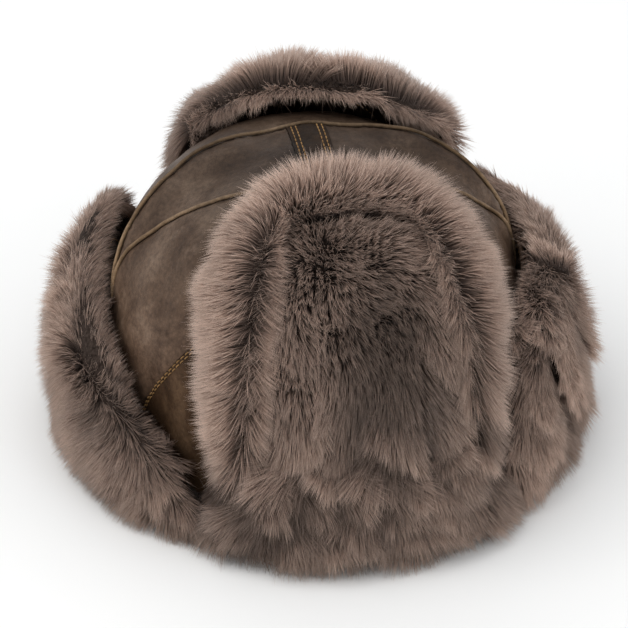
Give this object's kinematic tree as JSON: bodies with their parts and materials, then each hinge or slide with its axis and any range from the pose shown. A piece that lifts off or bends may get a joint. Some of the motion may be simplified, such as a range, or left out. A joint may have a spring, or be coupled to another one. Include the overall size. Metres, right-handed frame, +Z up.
{
  "type": "trapper hat",
  "caption": "Leather trapper hat with fur-lined brow, ear and nape flaps, all turned up against a seamed crown and hinged to turn down over the face, ears and neck.",
  "frame": {"origin": "centre of the hat's base, on the surface that the head opening stands on", "axes": "+Z up, towards the crown's top; -Y towards the brow flap, the hat's front; +X towards the wearer's left"},
  "size_m": [0.2724, 0.3083, 0.18],
  "materials": {
    "crown_leather": "waxed, distressed brown leather with a soft sheen",
    "flap_leather": "dark brown leather, the flaps' outer side when worn down",
    "strip_leather": "lighter golden-brown leather",
    "fur": "dense long-pile faux fur, dark brown at the root and taupe at the tip",
    "wadding": "off-white polyester wadding",
    "lining": "quilted satin lining",
    "sweatband": "ribbed cotton sweatband",
    "thread": "golden tan polyester topstitching thread",
    "brass": "antique brass press studs",
    "label": "blank woven care label"
  },
  "bodies": {
    "crown": {"rim_binding": "crown_leather", "sweatband": "sweatband", "crown_lining": "lining", "crown_wadding": "wadding", "front_panel": "crown_leather", "front_inset_panel": "crown_leather", "top_panel_left": "crown_leather", "top_panel_right": "crown_leather", "centre_strip": "strip_leather", "back_panel_left": "crown_leather", "back_panel_right": "crown_leather", "front_seam_welt": "crown_leather", "back_seam_welt": "crown_leather", "centre_strip_stitching": "thread", "front_inset_stitching": "thread", "care_label": "label", "crown_snap_studs": "brass"},
    "brow_flap": {"brow_flap_leather": "flap_leather", "brow_flap_interlining": "wadding", "brow_flap_fur": "fur", "brow_flap_binding": "flap_leather", "brow_snap_socket": "brass"},
    "nape_flap": {"nape_flap_leather": "flap_leather", "nape_flap_interlining": "wadding", "nape_flap_fur": "fur", "nape_flap_binding": "flap_leather", "nape_snap_socket": "brass"},
    "left_ear_flap": {"left_ear_flap_leather": "flap_leather", "left_ear_flap_interlining": "wadding", "left_ear_flap_fur": "fur", "left_ear_flap_binding": "flap_leather", "left_ear_snap_socket": "brass"},
    "right_ear_flap": {"right_ear_flap_leather": "flap_leather", "right_ear_flap_interlining": "wadding", "right_ear_flap_fur": "fur", "right_ear_flap_binding": "flap_leather", "right_ear_snap_socket": "brass"}
  },
  "joints": [
    {"name": "brow_flap_fold", "type": "hinge", "parent": "crown", "child": "brow_flap", "pos_m": [0, -0.117, 0.003], "axis": [1, 0, 0], "range_deg": [0, 150]},
    {"name": "nape_flap_fold", "type": "hinge", "parent": "crown", "child": "nape_flap", "pos_m": [0, 0.117, 0.003], "axis": [-1, 0, 0], "range_deg": [0, 150]},
    {"name": "left_ear_flap_fold", "type": "hinge", "parent": "crown", "child": "left_ear_flap", "pos_m": [0.105, 0, 0.003], "axis": [0, 1, 0], "range_deg": [0, 160]},
    {"name": "right_ear_flap_fold", "type": "hinge", "parent": "crown", "child": "right_ear_flap", "pos_m": [-0.105, 0, 0.003], "axis": [0, -1, 0], "range_deg": [0, 160]}
  ]
}
